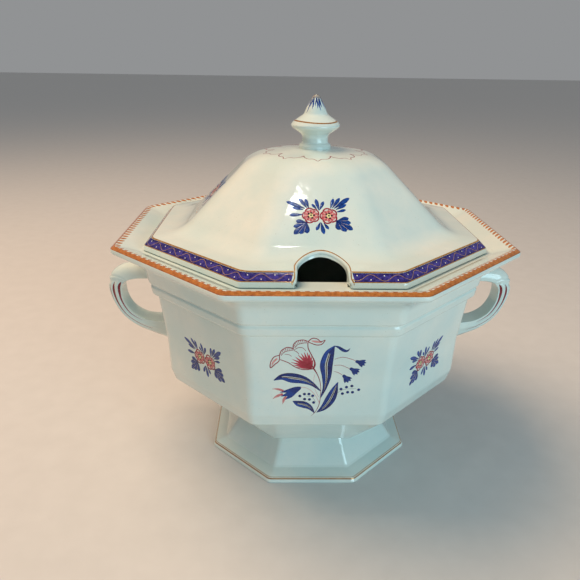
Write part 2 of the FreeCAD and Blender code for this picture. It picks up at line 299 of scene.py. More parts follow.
def makePaint(name):
    deep, pale, spread, metal = paintLook[name]
    material, nodes, links, shader = newMaterial(name)
    surface = nodes.new("ShaderNodeGroup")
    surface.node_tree = brushWash
    surface.inputs["Deep"].default_value = deep
    surface.inputs["Pale"].default_value = pale
    surface.inputs["Spread"].default_value = spread
    bump = nodes.new("ShaderNodeBump")
    bump.inputs["Strength"].default_value = 0.1
    bump.inputs["Distance"].default_value = 0.2 * mm
    links.new(surface.outputs["Height"], bump.inputs["Height"])
    links.new(surface.outputs["Color"], shader.inputs["Base Color"])
    links.new(surface.outputs["Roughness"], shader.inputs["Roughness"])
    links.new(bump.outputs["Normal"], shader.inputs["Normal"])
    shader.inputs["Metallic"].default_value = metal
    shader.inputs["Specular IOR Level"].default_value = 0.35
    shader.inputs["Coat Weight"].default_value = 0.2
    shader.inputs["Coat Roughness"].default_value = 0.04
    return material


glaze = makeGlaze("paleGlaze", glazeLook["thin"], glazeLook["thick"])
paints = {name: makePaint(name) for name in paintLook}
print("materials ready")

bowlLow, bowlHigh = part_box("bowl")
rimHalf = bowlHigh.x / mm
rimTop = bowlHigh.z / mm

# bowl outline: (in from the lip, down from the rim, fillet, corner radius), from the underside
# out, up the wall, over the lip, across the seat and down inside to the middle of the floor
bowlShape = {
    "outside": [
        (79.7, 136.7, 0, 4), (65.2, 134.7, 7, 6), (32.8, 100.8, 2.6, 7), (30.2, 92.5, 12, 8),
        (29.2, 67.0, 70, 9), (25.6, 38.4, 2, 9), (25.3, 36.4, 0.9, 9), (22.2, 35.4, 2.4, 9),
        (21.3, 30.2, 2.4, 9), (22.2, 28.6, 0.8, 9), (20.4, 27.2, 1.2, 9), (18.4, 15.6, 13, 9),
        (11.2, 9.1, 1.4, 8), (0.9, 5.3, 1.6, 7), (0, 3.9, 1.2, 7), (0.2, 1.8, 1.1, 7),
        (3.0, 0, 1.6, 7),
    ],
    "inside": [
        (16.7, 5.4, 2.5, 9), (31.5, 5.4, 1.8, 10), (31.7, 11.6, 2.2, 10), (22.8, 15.6, 4, 10),
        (25.8, 25.4, 7, 10), (30.9, 38.7, 14, 10), (34.6, 66.2, 70, 10), (36.2, 91.0, 10, 10),
        (39.2, 99.5, 8, 10), (69.1, 130.6, 9, 8), (128.7, 130.6, 0, 1),
    ],
}


def makeBowl():
    outline = [(rimHalf - inward, rimTop - down, fillet, corner)
               for inward, down, fillet, corner in bowlShape["outside"] + bowlShape["inside"]]
    profile = softProfile(scaled([(0, bowlLow.z / mm, 0, 1)] + outline))
    bowl = octagonShell("bowlShell", profile, glaze)
    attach(bowl, "tureen")
    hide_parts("bowl")
    return bowl


bowl = makeBowl()
print("bowl ready")

footLow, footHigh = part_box("foot")

# foot outline: (in from its edge, z, fillet, corner radius), a loop from the inner edge of the
# resting ring, out, up over the flare and the waist, and down inside
footShape = {
    "loop": [
        (6.0, 0.0, 0.8, 4), (0.5, 0.0, 0.8, 5), (0.1, 1.2, 1.2, 5), (1.7, 3.9, 0.9, 5), (9.4, 6.3, 0.9, 5),
        (10.6, 7.4, 1.0, 5), (19.2, 20.5, 30, 5), (23.4, 29.0, 0, 4), (29.4, 29.0, 0, 4),
        (16.2, 7.6, 6, 4), (8.2, 4.0, 4, 4),
    ],
}


def makeFoot():
    footHalf = footHigh.x / mm
    profile = softProfile(scaled([(footHalf - inward, z, fillet, corner)
                                  for inward, z, fillet, corner in footShape["loop"]]))
    foot = octagonShell("pedestalFoot", profile, glaze, closed=True)
    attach(foot, "tureen")
    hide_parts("foot")
    return foot


foot = makeFoot()
print("foot ready")

lidLow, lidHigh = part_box("lid")

# lid outlines: (in from its edge, up from the seat, fillet, corner radius), both from the middle
# of the crown outwards; the notch is cut through the front facet
lidShape = {
    "top": [
        (98.0, 58.9, 30, 12), (68.2, 55.65, 31, 22), (22.8, 10.0, 47, 17), (5.8, 8.3, 1.1, 5),
        (0.9, 3.5, 1.0, 4.5), (0.1, 0.5, 0.5, 4), (6.0, 0.0, 0, 4),
    ],
    "under": [
        (98.0, 54.3, 20, 10), (77.8, 51.9, 12, 14), (60.5, 41.3, 12, 16), (41.5, 22.2, 12, 14),
        (22.5, 8.8, 10, 14),
    ],
    "crown": 58.9,
    "crownUnder": 53.9,
    "hollow": 9.0,
    "hollowRoof": 4.0,
    "corner": 12,
    "seatIn": 4.0,
    "seatCorner": 4,
}
flangeShape = {
    # in from the lid's edge, thickness, drop below the seat, rise above it on the inner and outer
    # side, half the gap behind the notch, fillet below, corner radii round its section
    "out": 14.5,
    "wall": 5.5,
    "drop": 8.0,
    "riseIn": 8.3,
    "riseOut": 6.4,
    "gap": 21.0,
    "bead": 1.4,
    "corners": (11, 10, 12, 12),
}
notchShape = {
    "half": 13.6,
    "reach": 24.4,
    "edge": 1.2,
    "splay": 3.0,
    "angles": [0, 4, 9, 15, 21, 28, 35, 41, 47, 53, 59, 65, 71, 77, 83, 90],
}


def heightAt(path, half):
    # height of a profile at a given half width
    for (wideA, zA, cornerA), (wideB, zB, cornerB) in zip(path, path[1:]):
        if min(wideA, wideB) <= half <= max(wideA, wideB) and wideA != wideB:
            share = (half - wideA) / (wideB - wideA)
            return zA + (zB - zA) * share, cornerA + (cornerB - cornerA) * share, \
                Vector((zA - zB, wideB - wideA)).normalized()
    return path[-1][1], path[-1][2], Vector((0, 1))


def lidColumns():
    # from the front notch round to the front notch again: (side, share of the way, bend)
    columns = [(0, share, 0) for share in (0, 0.12, 0.3, 0.5, 0.75, 0.96, 1)]
    columns += [(0, 1, bend / 8) for bend in range(1, 8)]
    for side in range(1, sideCount):
        columns += [(side, along, 0) for along in (-1, -0.96, -0.5, 0, 0.5, 0.96)]
        columns += [(side, 1, bend / 8) for bend in range(8)]
    columns += [(0, share, 0) for share in (-1, -0.96, -0.75, -0.5, -0.3, -0.12, 0)]
    return columns


def makeLid():
    edge = lidHigh.x / mm
    seat = lidLow.z / mm
    top = softProfile([(edge - inward, seat + up, fillet, corner)
                       for inward, up, fillet, corner in [(edge, lidShape["crown"], 0, 1)] + lidShape["top"]])
    hollowEnd = (lidShape["hollow"], lidShape["hollowRoof"], 0, lidShape["corner"])
    under = softProfile([(edge - inward, seat + up, fillet, corner) for inward, up, fillet, corner in
                         [(edge, lidShape["crownUnder"], 0, 1)] + lidShape["under"] + [hollowEnd]])
    half = notchShape["half"]
    rounding = notchShape["edge"]
    middle = edge - notchShape["reach"] + half
    hollow = edge - lidShape["hollow"]
    columns = lidColumns()
    points, faces = [], []

    def splay(wide):
        # the foot of the notch opens out in a small curve at the edge of the lid
        reach = notchShape["splay"]
        into = min(max(wide - (edge - reach), 0), reach * 0.97)
        return reach - math.sqrt(reach * reach - into * into)

    def addRing(wide, z, corner, gap):
        if wide < 1e-3:
            points.append(Vector((0, 0, z)))
            return [len(points) - 1] * len(columns)
        corner = min(corner, wide * 0.98)
        flat = (wide - corner) * math.tan(halfTurn)
        ring = []
        for number, (side, share, bend) in enumerate(columns):
            last = number == len(columns) - 1
            if side == 0 and bend == 0:
                if last and gap == 0:
                    ring.append(ring[0])
                    continue
                sign = 1 if number < len(columns) / 2 else -1
                across = sign * (gap + (flat - gap) * abs(share))
                points.append(Vector((across, -wide, z)))
            else:
                points.append(ringPoint(side, share, bend, wide, corner) + Vector((0, 0, z)))
            ring.append(len(points) - 1)
        return ring

    def bridge(one, two):
        for here in range(len(columns) - 1):
            face = list(dict.fromkeys((one[here], one[here + 1], two[here + 1], two[here])))
            if len(face) > 2:
                faces.append(face)

    # top rings: plain ones over the crown, then stations round the notch, then out over the edge
    turns = [math.radians(angle) for angle in notchShape["angles"]]
    wideEdge = half + rounding
    rings = [addRing(wide, z, corner, 0) for wide, z, corner in top if wide < middle - wideEdge - 0.4]
    stations = []
    for turn in turns:
        wide = middle - wideEdge * math.cos(turn)
        stations.append((turn, wide, *heightAt(top, wide)))
    stations.append((None, hollow, *heightAt(top, hollow)))
    for back, (wide, z, corner), ahead in zip(top, top[1:], top[2:] + top[-1:]):
        if z < stations[len(turns)][2] - 0.1:
            lean = (Vector(ahead[:2]) - Vector(back[:2])).normalized()
            stations.append((None, wide, z, corner, Vector((-lean.y, lean.x))))
    topRings = []
    for turn, wide, z, corner, _ in stations:
        gap = wideEdge * math.sin(turn) if turn is not None else wideEdge + splay(wide)
        ring = addRing(wide, z, corner, gap)
        rings.append(ring)
        topRings.append(ring)
    for one, two in zip(rings, rings[1:]):
        bridge(two, one)

    # underside: crown, hollow, seat, with the same stations at the notch
    lowRings = [addRing(wide, z, corner, 0) for wide, z, corner in under if wide < middle - half - 0.4]
    chainIn, chainOut = [], []
    spots = []
    for turn in turns:
        wide = middle - half * math.cos(turn)
        spots.append((wide, half * math.sin(turn), [heightAt(under, wide)[0]]))
    spots.append((hollow, half, [under[-1][1], seat]))
    for wide, gap, levels in spots:
        made = [addRing(wide, z, lidShape["corner"], gap) for z in levels]
        lowRings += made
        chainIn.append(made[:1])
        chainOut.append(made)
    lastLow = addRing(edge - lidShape["seatIn"], seat, lidShape["seatCorner"], half)
    lowRings.append(lastLow)
    for one, two in zip(lowRings, lowRings[1:]):
        bridge(one, two)
    bridge(lowRings[-1], rings[-1])

    # rounded edge and upright wall of the notch, right side then left side
    for pick, sign in ((0, 1), (-1, -1)):
        walls = []
        for (turn, wide, z, corner, normal), ring in zip(stations, topRings):
            column = [ring[pick]]
            for share in (0.62, 0.3, 0.08, 0):
                away = rounding * share
                drop = rounding - math.sqrt(rounding * rounding - (rounding - away) ** 2)
                if turn is not None:
                    spot = middle - (half + away) * math.cos(turn)
                    level, bend, normal = heightAt(top, spot)
                    place = Vector(((half + away) * math.sin(turn) * sign, -spot, level))
                else:
                    place = Vector(((half + away + splay(wide)) * sign, -wide, z))
                place -= Vector((0, -normal.x, normal.y)) * drop
                if turn == 0 and pick == -1:
                    column.append(firstWalls[0][len(column)])
                    continue
                points.append(place)
                column.append(len(points) - 1)
            walls.append(column)
        if pick == 0:
            firstWalls = walls
        for one, two in zip(walls, walls[1:]):
            for level in range(4):
                face = list(dict.fromkeys((one[level], one[level + 1], two[level + 1], two[level])))
                if len(face) > 2:
                    faces.append(face if sign > 0 else face[::-1])
        for number in range(len(turns)):
            face = [walls[number][-1], walls[number + 1][-1]]
            face += [ring[pick] for ring in chainIn[number + 1]]
            face += [ring[pick] for ring in reversed(chainOut[number])]
            face = list(dict.fromkeys(face))
            faces.append(face if sign > 0 else face[::-1])
        rest = [column[-1] for column in walls[len(turns):]]
        low = [lastLow[pick]] + [ring[pick] for ring in reversed(chainOut[-1])]
        faces.append((rest + low) if sign > 0 else (rest + low)[::-1])
        cap = walls[-1] + [lastLow[pick]]
        faces.append(cap[::-1] if sign > 0 else cap)
    lid = newMesh("lidShell", [point * mm for point in points], faces, [glaze])
    lid.data.validate()
    evenShading(lid)
    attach(lid, "cover")
    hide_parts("lid")
    return lid


def makeFlange():
    # locating ring under the lid, sunk a little into it, open behind the notch
    out = lidHigh.x / mm - flangeShape["out"]
    into = out - flangeShape["wall"]
    seat = lidLow.z / mm
    low = seat - flangeShape["drop"]
    inTop, inLow, outLow, outTop = flangeShape["corners"]
    outline = [(into, seat + flangeShape["riseIn"], 0, inTop), (into, low, flangeShape["bead"], inLow),
               (out, low, flangeShape["bead"], outLow), (out, seat + flangeShape["riseOut"], 0, outTop)]
    section = softProfile(outline, 4)
    columns = [(0, share, 0) for share in (0, 0.5, 1)] + [(0, 1, bend / 8) for bend in range(1, 8)]
    for side in range(1, sideCount):
        columns += [(side, along, 0) for along in (-1, 0, 1)] + [(side, 1, bend / 8) for bend in range(1, 8)]
    columns += [(0, share, 0) for share in (-1, -0.5, 0)]
    points, faces = [], []
    for number, (side, share, bend) in enumerate(columns):
        for wide, z, corner in section:
            if side == 0 and bend == 0:
                flat = (wide - corner) * math.tan(halfTurn)
                sign = 1 if number < len(columns) / 2 else -1
                across = sign * (flangeShape["gap"] + (flat - flangeShape["gap"]) * abs(share))
                points.append(Vector((across, -wide, z)) * mm)
            else:
                points.append((ringPoint(side, share, bend, wide, corner) + Vector((0, 0, z))) * mm)
    deep = len(section)
    for number in range(len(columns) - 1):
        for level in range(deep):
            after = (level + 1) % deep
            faces.append([number * deep + level, number * deep + after,
                          (number + 1) * deep + after, (number + 1) * deep + level])
    faces.append(list(range(deep))[::-1])
    faces.append([(len(columns) - 1) * deep + level for level in range(deep)])
    flange = newMesh("lidFlangeRing", points, [face[::-1] for face in faces], [glaze])
    evenShading(flange)
    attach(flange, "cover")
    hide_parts("lid_flange")
    return flange


lid = makeLid()
flange = makeFlange()
print("lid ready")

finialLow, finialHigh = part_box("finial")

# finial outline: (radius, up from the crown, fillet); the widest row takes the full radius
finialShape = {
    "outline": [
        (10.6, 0, 0), (10.8, 1.6, 0.8), (10.0, 3.0, 0.9), (8.7, 3.8, 1.4), (8.6, 8.6, 4), (15.4, 13.2, 5),
        (16.6, 14.9, 1.6), (14.9, 17.2, 4), (7.9, 21.9, 3.5), (6.2, 26.0, 8), (2.6, 32.6, 5),
        (0.9, 34.0, 1.1), (0, 34.2, 0),
    ],
}


def makeFinial():
    # turned piece: the outline spun about the middle axis
    base = finialLow.z / mm
    outline = [(radius, base + up, fillet, 0) for radius, up, fillet in finialShape["outline"]]
    profile = [(0, base, 0)] + softProfile(outline, 9)
    tall = finialHigh.z / mm - base
    highest = profile[-1][1] - base
    turns = 64
    points, rings, faces = [], [], []
    for radius, z, _ in profile:
        z = base + (z - base) * tall / highest
        if radius < 1e-6:
            points.append(Vector((0, 0, z)) * mm)
            rings.append([len(points) - 1] * turns)
            continue
        start = len(points)
        for turn in range(turns):
            angle = 2 * math.pi * turn / turns
            points.append(Vector((radius * math.cos(angle), radius * math.sin(angle), z)) * mm)
        rings.append(list(range(start, len(points))))
    for low, high in zip(rings, rings[1:]):
        for here in range(turns):
            after = (here + 1) % turns
            face = list(dict.fromkeys((low[here], low[after], high[after], high[here])))
            if len(face) > 2:
                faces.append(face)
    finial = newMesh("knobFinial", points, faces, [glaze])
    evenShading(finial)
    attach(finial, "cover")
    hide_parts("finial")
    return finial


finial = makeFinial()
print("finial ready")

handleLow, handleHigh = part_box("right_handle")

# handle: the flat inner face runs through these places, (in from the outermost point, z,
# thickness, width); the cuff ends in a tongue and the ribbed strap starts under it
handleShape = {
    "path": [
        (44.5, 132.0, 10.6, 26), (38.5, 129.6, 8.4, 19), (30.0, 127.7, 8.5, 15.4), (21.5, 127.4, 8.9, 15.2),
        (15.0, 125.8, 9.5, 15.4), (11.2, 122.2, 9.7, 15.2), (10.4, 117.0, 9.4, 15.2),
        (11.6, 109.2, 8.2, 15.0), (16.2, 101.0, 8.0, 15.0), (24.5, 95.4, 9.2, 15.2),
        (33.5, 93.6, 12.0, 16.4), (41.0, 93.4, 15.4, 19.5),
        (47.0, 93.6, 19.5, 26), (52.0, 94.0, 25.0, 33),
    ],
    "cuffEnd": 4.35,
    "tongue": 0.9,
    "cuffSwell": 0.95,
    "rib": 0.42,
    "ribTurn": 28.7,
}


def smoothRow(rows, place):
    # Catmull-Rom through rows of numbers; place runs from 0 to the last row
    last = len(rows) - 1
    number = min(int(place), last - 1)
    share = place - number
    a, b, c, d = (rows[max(number - 1, 0)], rows[number], rows[number + 1], rows[min(number + 2, last)])
    return tuple(0.5 * (2 * q + (r - p) * share + (2 * p - 5 * q + 4 * r - s) * share ** 2
                        + (3 * q - p - 3 * r + s) * share ** 3) for p, q, r, s in zip(a, b, c, d))


def handlePlace(place, turn, lift=0):
    # point of the handle's skin: place runs along it, turn is 0 at the front edge, 180 at the back
    # edge over the outside, and 180 to 360 along the flat inner face; lift raises it off the skin
    reach = handleHigh.x / mm
    inward, z, thick, wide = smoothRow(handleShape["path"], place)
    nearX, nearZ = smoothRow(handleShape["path"], max(place - 0.04, 0))[:2]
    farX, farZ = smoothRow(handleShape["path"], min(place + 0.04, len(handleShape["path"]) - 1))[:2]
    along = Vector((nearX - farX, farZ - nearZ)).normalized()
    outward = Vector((-along.y, along.x))
    angle = math.radians(turn)
    away = (place - handleShape["cuffEnd"] - handleShape["tongue"] * math.sin(angle)) / 0.35
    if turn > 180:
        away = 1
    # the cuff ends in two beads, then the strap starts in a dip
    if away < -1.2:
        swell = 1
    elif away < -0.15:
        swell = 0.6 + 0.4 * math.cos(2 * math.pi * (away + 0.45) / 0.75)
    elif away < 0.3:
        swell = 0.28 - 2 * (away + 0.15)
    else:
        swell = -0.88 * max(1 - away, 0)
    fade = min(max((11.2 - place) / 2.5, 0), 1)
    groove = handleShape["rib"] * math.cos(2 * math.pi * (turn - 90) / handleShape["ribTurn"])
    rib = -groove * min(max(away, 0), 1) * fade * (turn <= 180)
    cuff = handleShape["cuffSwell"] * swell
    if turn <= 180:
        across = -math.cos(angle)
        rise = math.sin(angle)
        across = math.copysign(abs(across) ** 0.86, across)
        y = across * (wide / 2 + rib * abs(math.cos(angle)) + cuff * 0.5 * abs(across)
                      + lift * abs(math.cos(angle)))
        up = rise ** 0.9 * (thick + rib + cuff * fade) + lift * rise
    else:
        share = (turn - 180) / 180
        y = math.cos(math.pi * share) * wide / 2
        y = math.copysign(abs(y / (wide / 2)) ** 0.7 * wide / 2, y)
        up = -0.9 * math.sin(math.pi * share) ** 0.35 - lift
    x = reach - inward + outward.x * up
    return Vector((x, y, z + outward.y * up)) * mm


def makeHandle(name, node, direction):
    stations = len(handleShape["path"]) * 14
    last = len(handleShape["path"]) - 1
    turns = [4 * step for step in range(46)] + [180 + 15 * step for step in range(1, 12)]
    points, faces = [], []
    for station in range(stations + 1):
        for turn in turns:
            spot = handlePlace(last * station / stations, turn)
            points.append(Vector((spot.x * direction, spot.y * direction, spot.z)))
    wide = len(turns)
    for station in range(stations):
        for here in range(wide):
            after = (here + 1) % wide
            faces.append([station * wide + here, station * wide + after,
                          (station + 1) * wide + after, (station + 1) * wide + here])
    faces.append(list(range(wide))[::-1])
    faces.append([stations * wide + here for here in range(wide)])
    handle = newMesh(name, points, [face[::-1] for face in faces], [glaze])
    evenShading(handle)
    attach(handle, "tureen")
    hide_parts(node)
    return handle


rightHandle = makeHandle("rightHandleStrap", "right_handle", 1)
leftHandle = makeHandle("leftHandleStrap", "left_handle", -1)
print("handles ready")

def meshTree(*pieces):
    # what a ray from outside meets, taken from the plain meshes
    points, faces = [], []
    for piece in pieces:
        start = len(points)
        points += [vertex.co.copy() for vertex in piece.data.vertices]
        faces += [[start + corner for corner in face.vertices] for face in piece.data.polygons]
    return BVHTree.FromPolygons(points, faces)


bowlTree = meshTree(bowl)
lidTree = meshTree(lid)
footTree = meshTree(foot)
finialTree = meshTree(finial)


def castOn(tree, start, direction, lift):
    spot, normal, _, _ = tree.ray_cast(start, direction)
    if spot is None:
        return None
    if normal.dot(direction) > 0:
        normal = -normal
    return spot + normal * lift


def onBowlFacet(side, rise):
    # local x runs along the facet and y up it, both in millimetres from the middle at that height
    out, run = sideFrame(side)

    def place(x, y, lift):
        start = out * 0.2 + run * x * mm + Vector((0, 0, (rise + y) * mm))
        return castOn(bowlTree, start, -out, lift * mm)
    return place


def onLidFacet(side, half):
    # local y runs up the slope of the facet from that half width
    out, run = sideFrame(side)

    def place(x, y, lift):
        start = out * (half - y * 0.71) * mm + run * x * mm + Vector((0, 0, 0.3))
        return castOn(lidTree, start, Vector((0, 0, -1)), lift * mm)
    return place


def onTop(tree):
    # seen straight down: x and y are the plan, in millimetres
    def place(x, y, lift):
        return castOn(tree, Vector((x * mm, y * mm, 0.3)), Vector((0, 0, -1)), lift * mm)
    return place


def onKnob(x, y, lift):
    # x is an angle in degrees round the knob, y the height up it in millimetres
    out = Vector((math.cos(math.radians(x)), math.sin(math.radians(x)), 0))
    start = out * 0.03 + Vector((0, 0, finialLow.z + y * mm))
    return castOn(finialTree, start, -out, lift * mm)


def onHandle(direction):
    # x is the turn round the strap in degrees, y the place along it
    def place(x, y, lift):
        spot = handlePlace(y, min(max(x, 0), 180), lift)
        return Vector((spot.x * direction, spot.y * direction, spot.z))
    return place


paintShape = {
    # paint stands this far proud of the glaze, and its edges sink in by this much, in millimetres
    "proud": 0.07,
    "sink": 0.05,
}


def newLayer():
    return {"points": [], "faces": [], "wash": []}


def addStroke(layer, place, rows, wash=(0.15, 0.7), stretch=(1, 1), columns=5, samples=6, proud=1):
    # rows are (x, y, half width); the stroke is a ribbon with thin edges laid on the surface
    dense = []
    spans = (len(rows) - 1) * samples
    for step in range(spans + 1):
        dense.append(smoothRow(rows, step / samples))
    joined = False
    for number, (x, y, half) in enumerate(dense):
        back = dense[max(number - 1, 0)]
        ahead = dense[min(number + 1, spans)]
        run = Vector(((ahead[0] - back[0]) * stretch[0], (ahead[1] - back[1]) * stretch[1]))
        if run.length < 1e-6:
            run = Vector((1, 0))
        run.normalize()
        side = Vector((-run.y / stretch[0], run.x / stretch[1]))
        half = max(half, 0.03)
        row = []
        for column in range(columns):
            across = 2 * column / (columns - 1) - 1
            lift = -paintShape["sink"]
            if abs(across) != 1:
                lift = paintShape["proud"] * proud * (1 - 0.4 * abs(across))
            spot = place(x + side.x * half * across, y + side.y * half * across, lift)
            if spot is None:
                break
            row.append((spot, across))
        if len(row) < columns:
            joined = False
            continue
        share = number / spans
        start = len(layer["points"])
        for spot, across in row:
            layer["points"].append(spot)
            middle = 1 - across * across
            layer["wash"].append(wash[0] * (1 - share) + wash[1] * share + 0.35 * (middle - 0.6))
        if joined:
            for column in range(columns - 1):
                first = start - columns + column
                layer["faces"].append([first + 1, first, first + columns, first + columns + 1])
        joined = True


def addDot(layer, place, x, y, radius, stretch=(1, 1), wash=0.3, proud=1.2):
    start = len(layer["points"])
    spot = place(x, y, paintShape["proud"] * proud)
    if spot is None:
        return
    layer["points"].append(spot)
    layer["wash"].append(wash + 0.2)
    rings = ((0.7, paintShape["proud"] * proud * 0.8), (1, -paintShape["sink"]))
    for share, lift in rings:
        for turn in range(10):
            angle = 2 * math.pi * turn / 10
            spot = place(x + radius * share * math.cos(angle) / stretch[0],
                         y + radius * share * math.sin(angle) / stretch[1], lift)
            if spot is None:
                return
            layer["points"].append(spot)
            layer["wash"].append(wash)
    for turn in range(10):
        after = (turn + 1) % 10
        layer["faces"].append([start, start + 1 + turn, start + 1 + after])
        layer["faces"].append([start + 1 + turn, start + 11 + turn, start + 11 + after, start + 1 + after])


def loopTurns(half, corner, steps):
    # places round an octagon for aroundPoint, closer together round the corners
    flat = (half - corner) * math.tan(halfTurn)
    share = flat / (2 * flat + corner * sideTurn)
    bends = 12
    turns = []
    for side in range(sideCount):
        turns += [side + share * (2 * step / steps - 1) for step in range(steps)]
        turns += [side + share + (1 - 2 * share) * step / bends for step in range(bends)]
    return turns


def addLoop(layer, tree, rows, corner, washes, steps=34, skip=None, lift=0):
    # a painted line right round an octagon; rows are (half, z, slant) from inside out, where slant
    # leans the ray outwards: 0 comes straight down and 1 straight in from the side
    start = len(layer["points"])
    turns = loopTurns(rows[0][0], corner, steps)
    count = len(turns)
    kept = []
    for turn in turns:
        row = []
        for number, (half, z, slant) in enumerate(rows):
            spot, normal = aroundPoint(half, corner, turn)
            edge = number in (0, len(rows) - 1)
            height = (-paintShape["sink"] if edge else paintShape["proud"]) + lift
            aim = Vector((-normal.x * slant, -normal.y * slant, slant - 1)).normalized()
            above = (spot + Vector((0, 0, z))) * mm - aim * 0.05
            hit = castOn(tree, above, aim, height * mm)
            if hit is None or (skip and skip(spot)):
                row = None
                break
            row.append(hit)
        kept.append(None if row is None else len(layer["points"]) - start)
        if row:
            layer["points"] += row
            layer["wash"] += [washes[number % len(washes)] for number in range(len(row))]
    wide = len(rows)
    for step in range(count):
        one, two = kept[step], kept[(step + 1) % count]
        if one is None or two is None:
            continue
        for column in range(wide - 1):
            layer["faces"].append([start + one + column, start + one + column + 1,
                                   start + two + column + 1, start + two + column])


def finishLayer(layer, name, paint, body):
    if not layer["points"]:
        return None
    piece = newMesh(name, layer["points"], layer["faces"], [paints[paint]])
    wash = piece.data.attributes.new("wash", "FLOAT", "POINT")
    wash.data.foreach_set("value", [min(max(value, 0), 1) for value in layer["wash"]])
    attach(piece, body)
    return piece


def newLayers(*names):
    return {name: newLayer() for name in names}


def finishLayers(layers, prefix, body):
    for name, layer in layers.items():
        finishLayer(layer, prefix + name[0].upper() + name[1:], name, body)


def addLeaf(layers, place, base, tip, half, bend=0, wash=(0.1, 0.6)):
    # one leaf from base to tip with its belly a third of the way from the tip
    bx, by = base
    tx, ty = tip
    run = Vector((tx - bx, ty - by))
    side = Vector((-run.y, run.x)).normalized() * bend
    rows = []
    for share, wide in ((0, 0.15), (0.25, 0.55), (0.5, 0.92), (0.72, 1), (0.9, 0.62), (1, 0.05)):
        push = math.sin(math.pi * share)
        rows.append((bx + run.x * share + side.x * push, by + run.y * share + side.y * push, half * wide))
    addStroke(layers["cobaltPaint"], place, rows, wash, columns=7, samples=4)


# one small spray: two open flowers side by side with leaves round them, in millimetres about the
# middle of the spray; leaves are (base, tip, half width)
sprayShape = {
    "flowers": ((-5.2, 0.2, 5.0), (5.2, 0.0, 5.1)),
    "leaves": (
        ((-0.4, 3.6), (-2.3, 11.4), 1.1), ((-0.1, 3.8), (2.4, 9.8), 1.0), ((-1.6, 4.2), (-4.6, 8.0), 0.8),
        ((6.4, 5.0), (8.2, 11.8), 1.0), ((7.4, 5.2), (12.0, 12.2), 1.1), ((8.4, 5.0), (17.8, 12.4), 1.4),
        ((9.4, 4.2), (15.8, 7.8), 1.0), ((9.8, 2.6), (15.4, 4.2), 0.9),
        ((-6.4, 5.0), (-8.4, 11.4), 1.0), ((-7.4, 5.2), (-12.2, 11.8), 1.1), ((-8.6, 4.8), (-19.6, 9.6), 1.3),
        ((-9.4, 4.0), (-16.2, 5.6), 1.0), ((-9.8, 0.8), (-17.8, 0.4), 1.1),
        ((0.3, -4.2), (-2.2, -9.6), 1.0), ((0.7, -4.4), (2.2, -12.0), 1.2), ((2.2, -4.6), (5.0, -8.8), 0.9),
    ),
    "lobes": (
        ((-7.8, -4.6), ((-14.0, -3.4, 1.7), (-15.4, -7.4, 1.9), (-15.2, -12.2, 2.2), (-11.6, -12.0, 2.2),
                        (-7.6, -11.6, 2.0))),
        ((9.8, -3.4), ((16.8, -1.4, 1.9), (18.0, -4.6, 2.0), (19.0, -9.0, 2.2), (15.2, -10.2, 2.2),
                       (11.0, -9.2, 2.1))),
    ),
}


flowerShape = {
    # shares of the flower's radius: the cusp between petals, how far a petal stands past it, the
    # disc of colour and the eye; streaks are (paint, from, to, half width)
    "petals": 5,
    "turn": 0.3,
    "cusp": 0.78,
    "petal": 0.21,
    "disc": 0.84,
    "rim": 0.8,
    "eye": 0.33,
    "streaks": (("whitePaint", 0.3, 0.78, 0.26), ("crimsonPaint", 0.36, 0.88, 0.42)),
    "streakCount": 20,
    "rimSteps": 60,
    "discSteps": 12,
    "specks": ((-1.5, -0.9), (0.3, 1.7), (1.8, 0.2), (0.7, -1.6), (-1.3, 1.1), (0.1, 0.1)),
}


def addFlower(layers, place, x, y, radius):
    # five scalloped petals in a red outline, rose streaked with white, with a speckled eye
    shape = flowerShape
    rim = []
    for step in range(shape["rimSteps"] + 1):
        angle = 2 * math.pi * step / shape["rimSteps"] + shape["turn"]
        swell = abs(math.sin(shape["petals"] / 2 * angle)) ** 0.7
        reach = radius * (shape["cusp"] + shape["petal"] * swell)
        rim.append((x + reach * math.cos(angle), y + reach * math.sin(angle), shape["rim"]))
    disc = []
    for step in range(shape["discSteps"] + 1):
        angle = math.pi * step / shape["discSteps"]
        disc.append((x - shape["disc"] * radius * math.cos(angle), y,
                     shape["disc"] * radius * math.sin(angle)))
    addStroke(layers["rosePaint"], place, disc, (0.0, 0.1), columns=13, samples=2, proud=0.3)
    for step in range(shape["streakCount"]):
        angle = 2 * math.pi * step / shape["streakCount"]
        name, low, high, wide = shape["streaks"][step % 2]
        near = (x + low * radius * math.cos(angle), y + low * radius * math.sin(angle))
        far = (x + high * radius * math.cos(angle), y + high * radius * math.sin(angle))
        streak = [(*far, wide), ((near[0] + far[0]) / 2, (near[1] + far[1]) / 2, wide * 0.8), (*near, 0.05)]
        addStroke(layers[name], place, streak, (0.1, 0.8), columns=3, samples=2, proud=0.8)
    addStroke(layers["crimsonPaint"], place, rim, (0.1, 0.1), columns=3, samples=1)
    addDot(layers["yellowPaint"], place, x, y, radius * shape["eye"], wash=0.6, proud=1.3)
    for dx, dy in shape["specks"]:
        addDot(layers["blackPaint"], place, x + dx, y + dy, 0.75, wash=0.0, proud=1.9)


